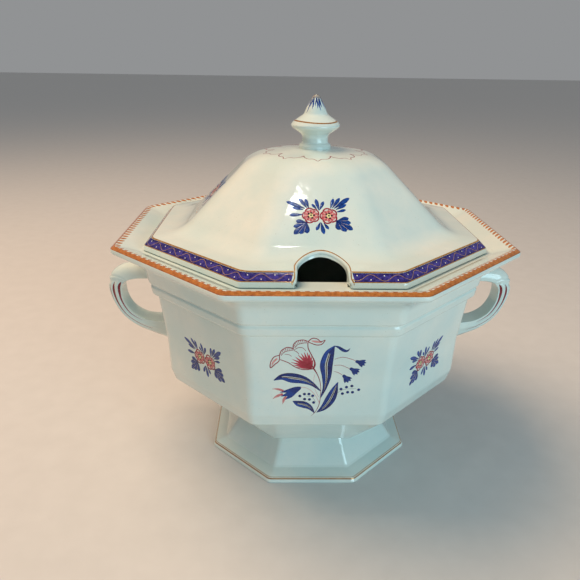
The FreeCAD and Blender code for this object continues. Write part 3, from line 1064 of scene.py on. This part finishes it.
def paintSpray(layers, place, mirror=1):
    for x, y, radius in sprayShape["flowers"]:
        addFlower(layers, place, x * mirror, y, radius)
    for (bx, by), (tx, ty), half in sprayShape["leaves"]:
        addLeaf(layers, place, (bx * mirror, by), (tx * mirror, ty), half * 1.25)
    for (bx, by), lobes in sprayShape["lobes"]:
        for number, (tx, ty, half) in enumerate(lobes):
            wash = (0.05, 0.35 + 0.15 * (number % 2))
            addLeaf(layers, place, (bx * mirror, by), (tx * mirror, ty), half, wash=wash)
        for (oneX, oneY, _), (twoX, twoY, _) in zip(lobes, lobes[1:]):
            # a pale slit between neighbouring lobes
            dx, dy = (oneX + twoX) / 2 - bx, (oneY + twoY) / 2 - by
            slit = [((bx + dx * share) * mirror, by + dy * share, wide)
                    for share, wide in ((0.3, 0.05), (0.6, 0.17), (0.92, 0.1))]
            addStroke(layers["whitePaint"], place, slit, (0.2, 0.4), columns=3, samples=4, proud=1.6)
        addDot(layers["cobaltPaint"], place, bx * mirror, by, 0.9, wash=0.0, proud=1.3)


# the large spray of the front and back panels, in millimetres about the foot of its stem
bouquetShape = {
    "stems": (
        ("maroonPaint", ((-3.6, 0, 0.15), (-1.0, 3.0, 0.3), (1.2, 9.0, 0.35), (1.8, 17.0, 0.3),
                         (1.2, 24.0, 0.35), (-0.8, 30.0, 0.5), (-3.3, 34.5, 0.9))),
        ("rosePaint", ((1.2, 9.6, 0.25), (-0.6, 13.6, 0.22), (-3.4, 17.6, 0.22), (-7.0, 20.2, 0.22),
                       (-10.0, 20.6, 0.3))),
        ("rosePaint", ((0.6, 13.8, 0.2), (-1.6, 19.0, 0.15), (-2.6, 25.0, 0.15), (-2.2, 29.8, 0.12))),
        ("crimsonPaint", ((8.9, 40.6, 0.2), (13.2, 42.0, 0.28), (17.4, 41.2, 0.28), (21.2, 39.6, 0.25))),
        ("crimsonPaint", ((8.9, 36.2, 0.2), (13.0, 36.4, 0.28), (18.0, 34.0, 0.25))),
        ("crimsonPaint", ((8.9, 32.0, 0.2), (11.4, 31.2, 0.28), (13.8, 29.6, 0.25))),
        ("umberPaint", ((12.0, 16.8, 0.15), (15.6, 19.2, 0.15), (22.6, 19.8, 0.12))),
        ("umberPaint", ((-1.0, 10.4, 0.12), (-3.4, 13.8, 0.14), (-6.6, 14.2, 0.12))),
    ),
    "halfLeaves": (
        # base to tip: middle line rows (x, y, half width) and where the pale slit runs
        ((1.8, 13.4, 0.4), (4.0, 20.0, 1.3), (4.8, 28.0, 2.9), (4.3, 36.6, 4.0), (5.8, 44.6, 3.0),
         (8.5, 50.0, 0.2)),
        ((1.5, 18.2, 0.4), (-3.4, 22.8, 1.4), (-9.0, 25.8, 2.9), (-15.6, 27.2, 3.7),
         (-21.4, 27.8, 2.2), (-26.2, 25.4, 0.3)),
        ((-0.2, 2.6, 0.2), (4.0, 6.2, 2.1), (7.4, 11.6, 3.2), (9.6, 17.4, 2.6), (11.0, 22.2, 1.0),
         (11.9, 24.4, 0.1)),
        ((-1.6, 2.4, 0.3), (-4.4, 6.2, 1.7), (-8.0, 8.2, 2.5), (-11.8, 9.2, 2.0), (-14.8, 10.8, 0.2)),
    ),
    "curl": ((8.5, 49.8, 0.3), (10.8, 48.9, 1.0), (13.6, 46.9, 1.3), (15.8, 46.4, 0.9), (17.5, 48.2, 0.1)),
    "bells": ((23.4, 38.6, -20), (20.2, 33.0, -35), (16.0, 27.6, -50)),
    "beads": (
        (13.8, 19.4), (17.0, 20.8), (20.2, 21.6), (24.4, 19.0), (14.8, 16.2), (17.9, 17.2), (20.8, 17.2),
        (-10.6, 14.4), (-7.9, 15.8), (-5.2, 15.8), (-2.9, 14.6), (-7.7, 12.2), (-4.8, 12.0), (-2.2, 9.8),
    ),
    "cupOutline": (
        ((-3.3, 33.8, 0.35), (-8.8, 33.2, 0.3), (-13.4, 34.8, 0.28), (-17.8, 38.0, 0.25),
         (-22.6, 40.2, 0.22)),
        ((-23.0, 43.2, 0.25), (-26.0, 42.0, 0.28), (-28.0, 38.4, 0.25), (-28.2, 34.4, 0.3),
         (-25.6, 36.8, 0.3), (-23.2, 39.4, 0.25), (-23.0, 43.2, 0.22)),
        ((-23.0, 43.0, 0.22), (-22.0, 46.2, 0.25), (-19.0, 48.6, 0.25), (-15.8, 48.2, 0.25),
         (-15.0, 47.2, 0.2)),
        ((-22.0, 43.0, 0.15), (-20.6, 45.0, 0.18), (-18.4, 46.2, 0.18), (-15.4, 46.6, 0.15)),
        ((-15.0, 47.2, 0.2), (-15.2, 50.0, 0.25), (-13.4, 52.8, 0.25), (-9.8, 53.8, 0.25),
         (-6.8, 52.8, 0.25)),
        ((-14.2, 48.4, 0.15), (-12.6, 50.6, 0.18), (-9.6, 51.6, 0.18), (-7.4, 51.8, 0.15)),
        ((-6.8, 52.6, 0.25), (-4.6, 54.8, 0.28), (-1.8, 54.6, 0.25), (0.4, 52.8, 0.25), (3.0, 53.8, 0.2)),
        ((3.0, 53.8, 0.2), (1.2, 51.0, 0.28), (-1.8, 50.4, 0.28), (-5.0, 51.6, 0.25), (-6.8, 52.6, 0.22)),
        ((-6.9, 52.2, 0.25), (-6.6, 48.2, 0.25), (-4.8, 44.0, 0.28), (-2.8, 39.6, 0.35), (-2.4, 36.4, 0.5),
         (-3.3, 34.0, 0.5)),
        ((-20.0, 44.0, 0.12), (-17.4, 43.6, 0.15), (-16.0, 42.4, 0.1)),
        ((-15.0, 46.8, 0.15), (-12.8, 45.4, 0.18), (-11.8, 43.8, 0.1)),
        ((-14.6, 47.0, 0.15), (-12.4, 48.4, 0.18), (-9.8, 48.4, 0.18), (-7.8, 46.2, 0.1)),
    ),
    "cupShade": (
        (-16.4, 38.4), (-15.8, 40.6), (-14.0, 42.2), (-12.4, 43.6), (-10.6, 44.6), (-8.8, 45.4), (-7.2, 45.4),
        (-5.8, 44.2), (-4.4, 42.4), (-15.0, 36.4), (-13.0, 35.0), (-3.4, 40.2),
    ),
    # the frilled edge of the cup: ticks run from the first row of places to the second
    "frills": (
        (((-22.2, 43.4), (-20.4, 45.4), (-18.0, 46.6), (-15.6, 46.9)),
         ((-23.0, 44.4), (-21.0, 47.4), (-18.4, 48.5), (-15.6, 48.0))),
        (((-14.4, 48.6), (-12.8, 50.8), (-10.4, 51.6), (-7.8, 51.9)),
         ((-15.2, 49.6), (-13.8, 52.4), (-10.8, 53.7), (-7.6, 53.2))),
    ),
    "ticks": 9,
    "cupEdges": (
        ((-24.2, 41.0, 0.8), (-26.4, 38.6, 0.9), (-27.4, 36.0, 0.3)),
        ((-4.8, 53.2, 0.5), (-2.0, 52.6, 1.0), (1.0, 52.2, 0.4)),
    ),
    # nodding bell at the lower left: rose petal tips under a blue hood
    "nodTips": (
        ((-20.4, 18.0, 0.8), (-23.6, 19.2, 0.9), (-27.0, 19.4, 0.1)),
        ((-20.8, 15.8, 0.9), (-24.0, 14.4, 1.1), (-26.8, 12.4, 0.1)),
        ((-18.8, 14.0, 0.9), (-20.2, 11.6, 1.1), (-20.8, 8.6, 0.1)),
    ),
    "nodHood": (
        ((-10.0, 20.4, 0.8), (-13.0, 19.8, 1.5), (-17.0, 18.2, 1.7), (-22.4, 17.0, 0.2)),
        ((-10.2, 20.0, 0.8), (-13.2, 18.6, 1.6), (-17.2, 16.0, 1.9), (-21.8, 14.2, 0.2)),
        ((-10.6, 19.6, 0.8), (-13.4, 17.4, 1.5), (-16.4, 14.4, 1.7), (-19.2, 12.0, 0.2)),
    ),
    # petals of a small bell: (turn from its lean, reach, half width)
    "bellPetals": ((-42, 5.4, 1.1), (-14, 5.6, 1.3), (14, 5.6, 1.3), (42, 5.4, 1.1)),
}


def paintBouquet(layers, place):
    shape = bouquetShape
    for name, rows in shape["stems"]:
        addStroke(layers[name], place, rows, (0.2, 0.4), columns=3, samples=5)
    for rows in shape["halfLeaves"]:
        # two strokes leave a pale slit that the vein half fills
        for sign in (1, -1):
            half = []
            for number, (x, y, wide) in enumerate(rows):
                back = rows[max(number - 1, 0)]
                ahead = rows[min(number + 1, len(rows) - 1)]
                run = Vector((ahead[0] - back[0], ahead[1] - back[1])).normalized()
                push = sign * wide * 0.56
                half.append((x - run.y * push, y + run.x * push, wide * 0.45))
            addStroke(layers["cobaltPaint"], place, half, (0.1, 0.3 + 0.25 * sign), columns=7, samples=6)
        addStroke(layers["cobaltPaint"], place, [(x, y, max(wide * 0.12, 0.25)) for x, y, wide in rows[:2]],
                  (0.0, 0.1), columns=3, samples=6, proud=1.3)
        addStroke(layers["cobaltPaint"], place, [(x, y, wide * 0.5) for x, y, wide in rows[-2:]],
                  (0.1, 0.0), columns=5, samples=6, proud=1.2)
        addStroke(layers["umberPaint"], place, [(x, y, 0.16 + wide * 0.11) for x, y, wide in rows[:-1]],
                  (0.1, 0.6), columns=3, samples=6, proud=1.5)
    addStroke(layers["cobaltPaint"], place, shape["curl"], (0.1, 0.2), columns=5, samples=6)
    for x, y, lean in shape["bells"]:
        for turn, reach, wide in shape["bellPetals"]:
            angle = math.radians(lean + turn)
            back = math.radians(lean + turn * 0.3)
            addStroke(layers["cobaltPaint"], place,
                      [(x - 2.4 * math.cos(back), y - 2.4 * math.sin(back), 0.35),
                       (x - 0.4 * math.cos(back), y - 0.4 * math.sin(back), wide * 1.25),
                       (x + reach * 0.45 * math.cos(angle), y + reach * 0.45 * math.sin(angle), wide),
                       (x + reach * 0.75 * math.cos(angle), y + reach * 0.75 * math.sin(angle), 0.1)],
                      (0.1, 0.25), columns=5, samples=4)
    for x, y in shape["beads"]:
        addDot(layers["cobaltPaint"], place, x, y, 1.1, wash=0.1)
    for rows in shape["nodTips"]:
        addStroke(layers["rosePaint"], place, rows, (0.0, 0.5), columns=5, samples=5)
        addStroke(layers["crimsonPaint"], place, [(x, y, 0.2) for x, y, _ in rows], (0.1, 0.1),
                  columns=3, samples=5, proud=1.4)
    for rows in shape["nodHood"]:
        addStroke(layers["cobaltPaint"], place, rows, (0.05, 0.4), columns=5, samples=5)
    # the cup: shading strokes fan up from its base, then outlines and the ticks of its frilled edge
    for number, (x, y) in enumerate(shape["cupShade"]):
        base = (-4.0 - 0.7 * (number % 3), 34.6 + 0.3 * (number % 2))
        addStroke(layers["rosePaint"], place,
                  [(base[0], base[1], 1.0), ((base[0] + x) / 2, (base[1] + y) / 2, 1.6),
                   ((base[0] + x * 4) / 5, (base[1] + y * 4) / 5, 0.5)],
                  (0.0, 0.9), columns=5, samples=6, proud=0.4)
        addStroke(layers["crimsonPaint"], place,
                  [(base[0], base[1], 1.1), ((base[0] * 1.2 + x) / 2.2, (base[1] * 1.2 + y) / 2.2, 1.4),
                   ((base[0] + x * 2.2) / 3.2, (base[1] + y * 2.2) / 3.2, 0.8), (x, y, 0.1)],
                  (0.0, 0.95), columns=5, samples=4, proud=0.8)
    for rows in shape["cupEdges"]:
        addStroke(layers["rosePaint"], place, rows, (0.5, 0.2), columns=5, samples=5, proud=0.6)
    for rows in shape["cupOutline"]:
        addStroke(layers["crimsonPaint"], place, [(x, y, half * 1.9) for x, y, half in rows], (0.0, 0.15),
                  columns=3, samples=5)
    for low, high in shape["frills"]:
        for step in range(shape["ticks"]):
            share = step / (shape["ticks"] - 1) * (len(low) - 1)
            inner = smoothRow(low, share)
            outer = smoothRow(high, share)
            addStroke(layers["crimsonPaint"], place, [(inner[0], inner[1], 0.2), (outer[0], outer[1], 0.34)],
                      (0.3, 0.3), columns=3, samples=2)


def paintBowlSprays():
    layers = newLayers("cobaltPaint", "crimsonPaint", "rosePaint", "maroonPaint", "umberPaint", "whitePaint",
                       "yellowPaint", "blackPaint")
    for side in (0, 4):
        paintBouquet(layers, onBowlFacet(side, 73.0))
    for side in (1, 3, 5, 7):
        paintSpray(layers, onBowlFacet(side, 96.0))
    finishLayers(layers, "bowlSpray", "tureen")


def paintLidSprays():
    layers = newLayers("cobaltPaint", "crimsonPaint", "rosePaint", "whitePaint", "yellowPaint", "blackPaint")
    for side in (0, 2, 4, 6):
        paintSpray(layers, onLidFacet(side, 67.8))
    finishLayers(layers, "lidSpray", "cover")


paintBowlSprays()
paintLidSprays()
print("sprays painted")

rimShape = {
    # (half, z, slant) rows of the line over the lip's outer edge
    "line": ((125.7, 165.6, 0), (126.0, 165.5, 0), (126.4, 165.3, 0), (126.8, 165.0, 0), (127.2, 164.8, 0),
             (127.6, 164.5, 0.2), (128.0, 164.3, 0.3), (128.3, 164.0, 0.5), (128.5, 163.7, 0.7)),
    "washes": (0.2, 0.4, 0.5, 0.5, 0.4, 0.5, 0.4, 0.3, 0.1),
    "pitch": 5.0,
    "tooth": ((1.2, 0.1, 1.95), (0.5, 1.3, 1.8), (-0.6, 2.5, 1.3), (-1.8, 3.6, 0.25)),
    "teethFrom": 126.3,
    "corner": 7,
}


def paintRim():
    layers = newLayers("copperLustre")
    layer = layers["copperLustre"]
    addLoop(layer, bowlTree, rimShape["line"], rimShape["corner"], rimShape["washes"], 40)
    edge = rimShape["teethFrom"]
    flat = 2 * (edge - rimShape["corner"]) * math.tan(halfTurn)
    length = flat + rimShape["corner"] * sideTurn
    count = round(length / rimShape["pitch"])
    for side in range(sideCount):
        for tooth in range(count):
            turn = side - 0.5 + (tooth + 0.5) / count

            def place(x, y, lift, turn=turn):
                spot, normal = aroundPoint(edge, rimShape["corner"], turn + x / length)
                spot = (spot - normal * y) * mm
                return castOn(bowlTree, spot + Vector((0, 0, 0.3)), Vector((0, 0, -1)), lift * mm)
            addStroke(layer, place, rimShape["tooth"], (0.35, 0.6), columns=5, samples=3)
    finishLayers(layers, "rim", "tureen")


bandShape = {
    # (half, z, slant) rows of the blue ground and of the gilt lines along it
    "blue": tuple((half, 164, 0.5) for half in (100.6, 101.2, 103.0, 105.0, 107.0, 108.3, 108.9)),
    "topLine": tuple((half, 164, 0.5) for half in (99.2, 99.6, 100.3, 100.8)),
    "lowLine": tuple((half, 164, 0.5) for half in (108.2, 108.5, 108.9, 109.2)),
    "wavePitch": 15.0,
    "waveMiddle": 106.8,
    "waveReach": 1.35,
    "corner": 5,
    "notchLine": 15.2,
}


def paintBand():
    layers = newLayers("cobaltBand", "goldLine", "whitePaint")
    gap = bandShape["notchLine"] + 0.4

    def nearNotch(spot):
        return spot.y < 0 and abs(spot.x) < gap and abs(spot.y) > 90

    addLoop(layers["cobaltBand"], lidTree, bandShape["blue"], bandShape["corner"],
            (0.0, 0.1, 0.35, 0.5, 0.3, 0.1, 0.0), 60, nearNotch)
    for name in ("topLine", "lowLine"):
        addLoop(layers["goldLine"], lidTree, bandShape[name], bandShape["corner"],
                (0.1, 0.5, 0.4, 0.1), 60, nearNotch, 0.03)
    middle = bandShape["waveMiddle"]
    length = 2 * (middle - bandShape["corner"]) * math.tan(halfTurn) + bandShape["corner"] * sideTurn
    waves = round(length / bandShape["wavePitch"])

    def place(x, y, lift):
        spot, normal = aroundPoint(middle, bandShape["corner"], x / length)
        if nearNotch(spot):
            return None
        spot = (spot + normal * y) * mm
        return castOn(lidTree, spot + Vector((0, 0, 0.3)), Vector((0, 0, -1)), (lift + 0.05) * mm)
    for side in range(sideCount):
        rows = []
        for step in range(waves * 8 + 1):
            away = (side - 0.5) * length + step / (waves * 8) * length
            rows.append((away, bandShape["waveReach"] * math.sin(2 * math.pi * step / 8), 0.27))
        addStroke(layers["goldLine"], place, rows, (0.7, 0.7), columns=3, samples=3, stretch=(1, 1.3))
        for step in range(waves * 2):
            away = (side - 0.5) * length + (step + 0.5) / (waves * 2) * length
            sign = -1 if step % 2 == 0 else 1
            addDot(layers["whitePaint"], place, away, sign * 0.9, 0.42, stretch=(1, 1.3), wash=0.3)
    # gilt line round the notch, just outside its rounded edge
    reach = bandShape["notchLine"]
    centre = lidHigh.x / mm - notchShape["reach"] + notchShape["half"]
    rows = [(reach + 1.6, -109.3, 0.45), (reach + 0.2, -107.4, 0.45), (reach, -105.4, 0.45),
            (reach, -102.6, 0.45)]
    rows += [(reach * math.cos(math.radians(turn)), -centre + reach * math.sin(math.radians(turn)), 0.45)
             for turn in range(0, 181, 10)]
    rows += [(-x, y, half) for x, y, half in rows[3::-1]]
    addStroke(layers["goldLine"], onTop(lidTree), rows, (0.2, 0.5), columns=5, samples=4)
    finishLayers(layers, "lidBand", "cover")


petalShape = {
    # petals round the knob: radius at the cusps between them, at their shoulders and at their tips
    "count": 10,
    "cusp": 27.0,
    "swell": 33.0,
    "tip": 36.0,
    "half": 0.55,
}


def paintPetals():
    layers = newLayers("maroonPaint")
    place = onTop(lidTree)
    shape = petalShape
    for petal in range(shape["count"]):
        rows = [(0, shape["cusp"], 1.2), (0.07, shape["cusp"] + 3.2, 1), (0.2, shape["swell"], 1),
                (0.38, shape["swell"] + 0.2, 0.9), (0.5, shape["tip"], 0.7)]
        rows += [(1 - share, reach, wide) for share, reach, wide in reversed(rows[:-1])]
        plan = []
        for share, reach, wide in rows:
            angle = 2 * math.pi * (petal + share - 0.5) / shape["count"] - math.pi / 2
            plan.append((reach * math.cos(angle), reach * math.sin(angle), shape["half"] * wide))
        addStroke(layers["maroonPaint"], place, plan, (0.4, 0.5), columns=3, samples=5)
    finishLayers(layers, "crownPetal", "cover")


knobShape = {
    "line": 17.5,
    "streaks": 22,
    "from": 32.6,
    "to": 24.0,
}


def paintKnob():
    layers = newLayers("cobaltPaint", "goldLine", "umberPaint")
    dice = random.Random(5)
    rows = [(turn, knobShape["line"] + 0.35 * math.sin(math.radians(turn * 2 + 40)), 0.5)
            for turn in range(0, 361, 12)]
    addStroke(layers["goldLine"], onKnob, rows, (0.15, 0.15), stretch=(0.26, 1), columns=5, samples=2)
    for streak in range(knobShape["streaks"]):
        turn = 360 * streak / knobShape["streaks"] + dice.uniform(-5, 5)
        end = knobShape["to"] + dice.uniform(-1.2, 3.6)
        start = knobShape["from"]
        wide = dice.uniform(0.6, 0.95)
        addStroke(layers["cobaltPaint"], onKnob,
                  [(turn, start, wide * 0.55), (turn + dice.uniform(-3, 3), (start * 2 + end) / 3, wide),
                   (turn + dice.uniform(-4, 4), (start + end * 2) / 3, wide * 0.8), (turn, end, 0.05)],
                  (0.0, 0.65), stretch=(0.1, 1), columns=5, samples=4)
    cap = layers["umberPaint"]
    for turn in range(0, 360, 20):
        addStroke(cap, onKnob, [(turn, 33.9, 0.2), (turn, 33.0, 0.45), (turn, 32.0, 0.3)], (0.2, 0.6),
                  stretch=(0.04, 1), columns=3, samples=3, proud=1.5)
    finishLayers(layers, "knob", "cover")


footLineShape = {
    "line": ((70.0, 4.0, 0), (70.5, 3.8, 0), (71.2, 3.0, 0.4), (71.5, 2.5, 0.5)),
    "corner": 5,
}


def paintFootLine():
    layers = newLayers("goldLine")
    addLoop(layers["goldLine"], footTree, footLineShape["line"], footLineShape["corner"],
            (0.1, 0.4, 0.3, 0.1), 40)
    finishLayers(layers, "foot", "tureen")


handlePaintShape = {
    # turn round the strap, where the stroke ends along it, half width
    "strokes": ((6, 9.0, 0.9), (32, 9.8, 1.15), (61, 10.4, 1.2), (90, 10.6, 1.2), (119, 10.4, 1.2),
                (148, 9.8, 1.15), (174, 9.0, 0.9)),
    # share of the stroke's length and of its half width
    "taper": ((0, 0.08), (0.08, 0.7), (0.2, 1), (0.36, 0.8), (0.55, 0.5), (0.8, 0.28), (1, 0.05)),
}


def paintHandles():
    for direction, name in ((1, "rightHandle"), (-1, "leftHandle")):
        layers = newLayers("maroonPaint")
        for turn, end, half in handlePaintShape["strokes"]:
            start = handleShape["cuffEnd"] + handleShape["tongue"] * math.sin(math.radians(turn)) + 0.22
            rows = [(turn, start + (end - start) * share, half * wide)
                    for share, wide in handlePaintShape["taper"]]
            addStroke(layers["maroonPaint"], onHandle(direction), rows, (0.15, 0.55),
                      stretch=(0.125, 8.5), columns=5, samples=6)
        finishLayers(layers, name, "tureen")


paintRim()
paintBand()
paintPetals()
paintKnob()
paintFootLine()
paintHandles()
print("lines painted")

viewShape = {
    "place": (-24.1, -399.8, 275.7),
    "pitch": 21.76,
    "heading": -1.27,
    "roll": 0.86,
    "lens": 36.26,
}
lightShape = {
    # place, size, power, colour, whether the glaze mirrors it
    "keySoftbox": ((-0.6, 0.12, 1.35), (0.9, 0.9), 22, (1.0, 0.70, 0.46), False),
    "fillSoftbox": ((0.9, -1.3, 0.45), (1.0, 0.8), 13, (0.58, 0.88, 1.0), True),
    "windowPanel": ((-0.011, -0.303, 1.25), (0.072, 0.010), 0.35, (1.0, 0.98, 0.92), True),
}


def makeCamera():
    data = bpy.data.cameras.new("camera")
    data.lens = viewShape["lens"]
    data.sensor_width = 36
    data.clip_start = 0.01
    camera = bpy.data.objects.new("camera", data)
    turn = (Matrix.Rotation(math.radians(viewShape["heading"]), 4, "Z")
            @ Matrix.Rotation(math.radians(90 - viewShape["pitch"]), 4, "X")
            @ Matrix.Rotation(math.radians(viewShape["roll"]), 4, "Z"))
    camera.matrix_world = Matrix.Translation(Vector(viewShape["place"]) * mm) @ turn
    bpy.context.scene.collection.objects.link(camera)
    bpy.context.scene.camera = camera


def makeLights():
    for name, (place, size, power, colour, mirrored) in lightShape.items():
        data = bpy.data.lights.new(name, "AREA")
        data.shape = "RECTANGLE"
        data.size, data.size_y = size
        data.energy = power
        data.color = colour
        lamp = bpy.data.objects.new(name, data)
        lamp.location = place
        lamp.visible_glossy = mirrored
        lamp.rotation_euler = (Vector((0, 0, 0.12)) - Vector(place)).to_track_quat("-Z", "Y").to_euler()
        bpy.context.scene.collection.objects.link(lamp)


def makeFloor():
    world = bpy.data.worlds.new("studio")
    world.use_nodes = True
    world.node_tree.nodes["Background"].inputs["Color"].default_value = (0.86, 0.88, 0.9, 1)
    world.node_tree.nodes["Background"].inputs["Strength"].default_value = 0.33
    bpy.context.scene.world = world
    material, nodes, links, shader = newMaterial("floorPaper")
    place = nodes.new("ShaderNodeTexCoord").outputs["Object"]
    grain = noiseNode(nodes, links, place, 60)
    links.new(mixNode(nodes, links, grain, (0.58, 0.575, 0.565, 1), (0.64, 0.635, 0.625, 1)),
              shader.inputs["Base Color"])
    shader.inputs["Roughness"].default_value = 0.55
    reach = 9
    corners = [(-reach, -reach, 0), (reach, -reach, 0), (reach, reach, 0), (-reach, reach, 0)]
    floor = newMesh("studioFloor", corners, [(0, 1, 2, 3)], [material])


makeCamera()
makeLights()
makeFloor()
bpy.context.scene.view_settings.view_transform = "Standard"
print("stage ready")
